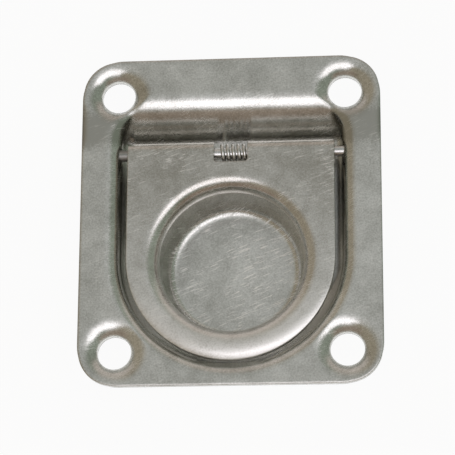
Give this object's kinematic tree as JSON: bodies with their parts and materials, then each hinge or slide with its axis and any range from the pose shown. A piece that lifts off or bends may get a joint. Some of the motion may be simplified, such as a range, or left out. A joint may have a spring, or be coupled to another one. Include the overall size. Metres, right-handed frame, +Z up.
{
  "type": "flush floor latch",
  "caption": "Flush pressed-steel floor or hatch latch: a recessed plate with a finger cup and a spring-loaded pull flap on a hinge pin.",
  "frame": {"origin": "below the middle of the plate, on the plane of the finger cup's underside, which it stands on when it isn't fitted", "axes": "X along the hinge, +Y towards the hinge end of the plate, +Z up, out of the floor"},
  "size_m": [0.08, 0.09, 0.0175],
  "materials": {
    "pan_steel": "satin",
    "flap_steel": "satin",
    "pin_steel": "bright drawn",
    "spring_steel": "bright drawn"
  },
  "bodies": {
    "pan": {"base_pan": "pan_steel", "hinge_pin": "pin_steel", "torsion_spring": "spring_steel"},
    "flap": {"pull_flap": "flap_steel"}
  },
  "joints": [
    {"name": "flap_hinge", "type": "hinge", "parent": "pan", "child": "flap", "pos_m": [0, 0.019, 0.0143], "axis": [-1, 0, 0], "range_deg": [0, 110], "stiffness_Nm_per_rad": 0.02, "springref_deg": -45.84, "deforming": ["torsion_spring"]}
  ]
}
